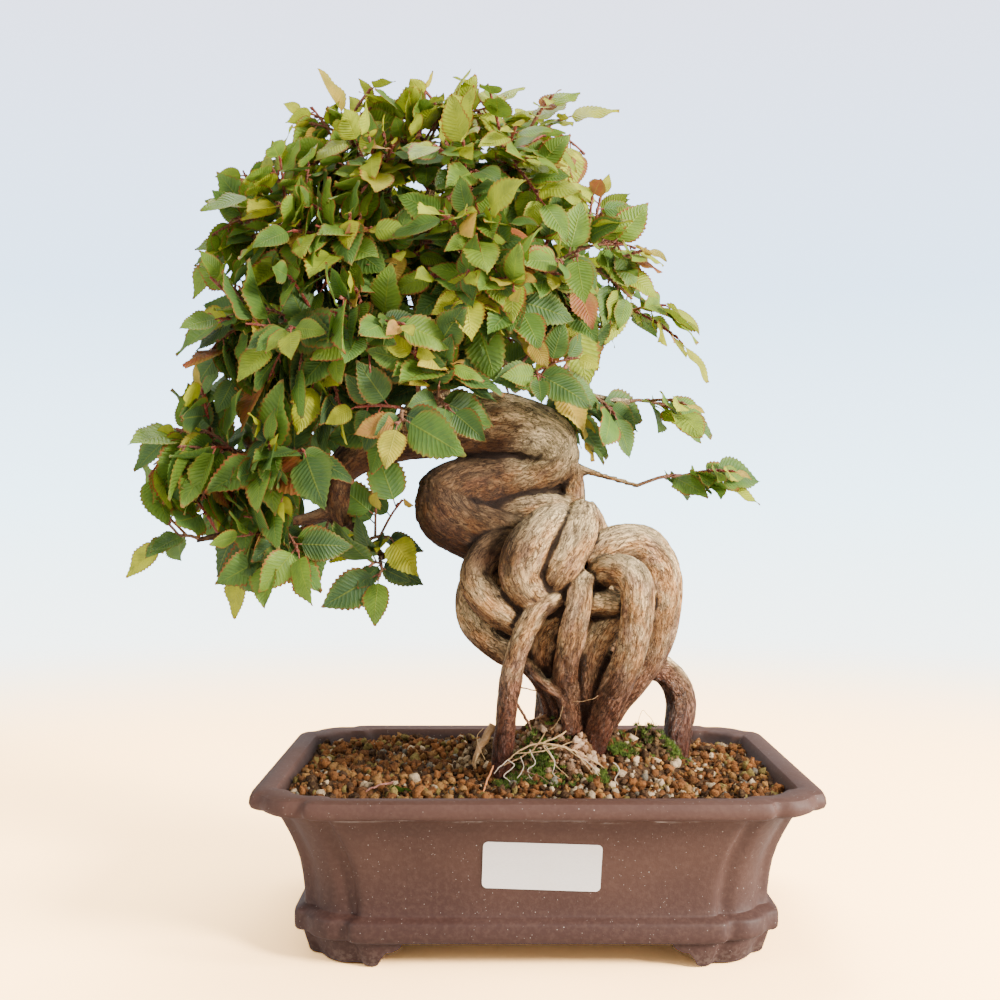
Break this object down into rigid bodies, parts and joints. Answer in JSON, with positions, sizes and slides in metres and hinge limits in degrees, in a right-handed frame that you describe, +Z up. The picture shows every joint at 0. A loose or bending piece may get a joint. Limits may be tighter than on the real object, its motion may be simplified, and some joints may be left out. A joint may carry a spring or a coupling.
{
  "type": "korean hornbeam bonsai",
  "caption": "Korean hornbeam bonsai with exposed knotted roots, a folded trunk and a leafy crown, in a footed rectangular ceramic pot.",
  "frame": {"origin": "middle of the bounding box's footprint, on the surface that the pot's feet stand on", "axes": "+Z up the tree, +X to the right as seen from the pot's front, +Y to the back"},
  "size_m": [0.36, 0.2376, 0.4694],
  "materials": {
    "ceramic": "matte",
    "soil": "matte",
    "bark": "matte",
    "leaf": "satin",
    "plastic": "matte",
    "paper": "matte"
  },
  "bodies": {
    "root": {"pot": "ceramic", "soil": "soil", "trunk": "bark", "drain_screen_left": "plastic", "drain_screen_right": "plastic", "label": "paper", "spray_01": "leaf", "spray_02": "leaf", "spray_03": "leaf", "spray_04": "leaf", "spray_05": "leaf", "spray_06": "leaf", "spray_07": "leaf", "spray_08": "leaf", "spray_09": "leaf", "spray_10": "leaf", "spray_11": "leaf", "spray_12": "leaf", "spray_13": "leaf", "spray_14": "leaf", "spray_15": "leaf", "spray_16": "leaf", "spray_17": "leaf", "spray_18": "leaf", "spray_19": "leaf", "spray_20": "leaf", "spray_21": "leaf", "spray_22": "leaf", "spray_23": "leaf", "spray_24": "leaf", "spray_25": "leaf", "spray_26": "leaf", "spray_27": "leaf", "spray_28": "leaf", "spray_29": "leaf", "spray_30": "leaf", "spray_31": "leaf", "spray_32": "leaf", "spray_33": "leaf", "spray_34": "leaf", "spray_35": "leaf", "spray_36": "leaf", "spray_37": "leaf", "spray_38": "leaf", "spray_39": "leaf", "spray_40": "leaf", "spray_41": "leaf", "spray_42": "leaf", "spray_43": "leaf", "spray_44": "leaf", "spray_45": "leaf", "spray_46": "leaf", "spray_47": "leaf", "spray_48": "leaf", "spray_49": "leaf", "spray_50": "leaf", "spray_51": "leaf", "spray_52": "leaf", "spray_53": "leaf", "spray_54": "leaf"}
  },
  "joints": []
}
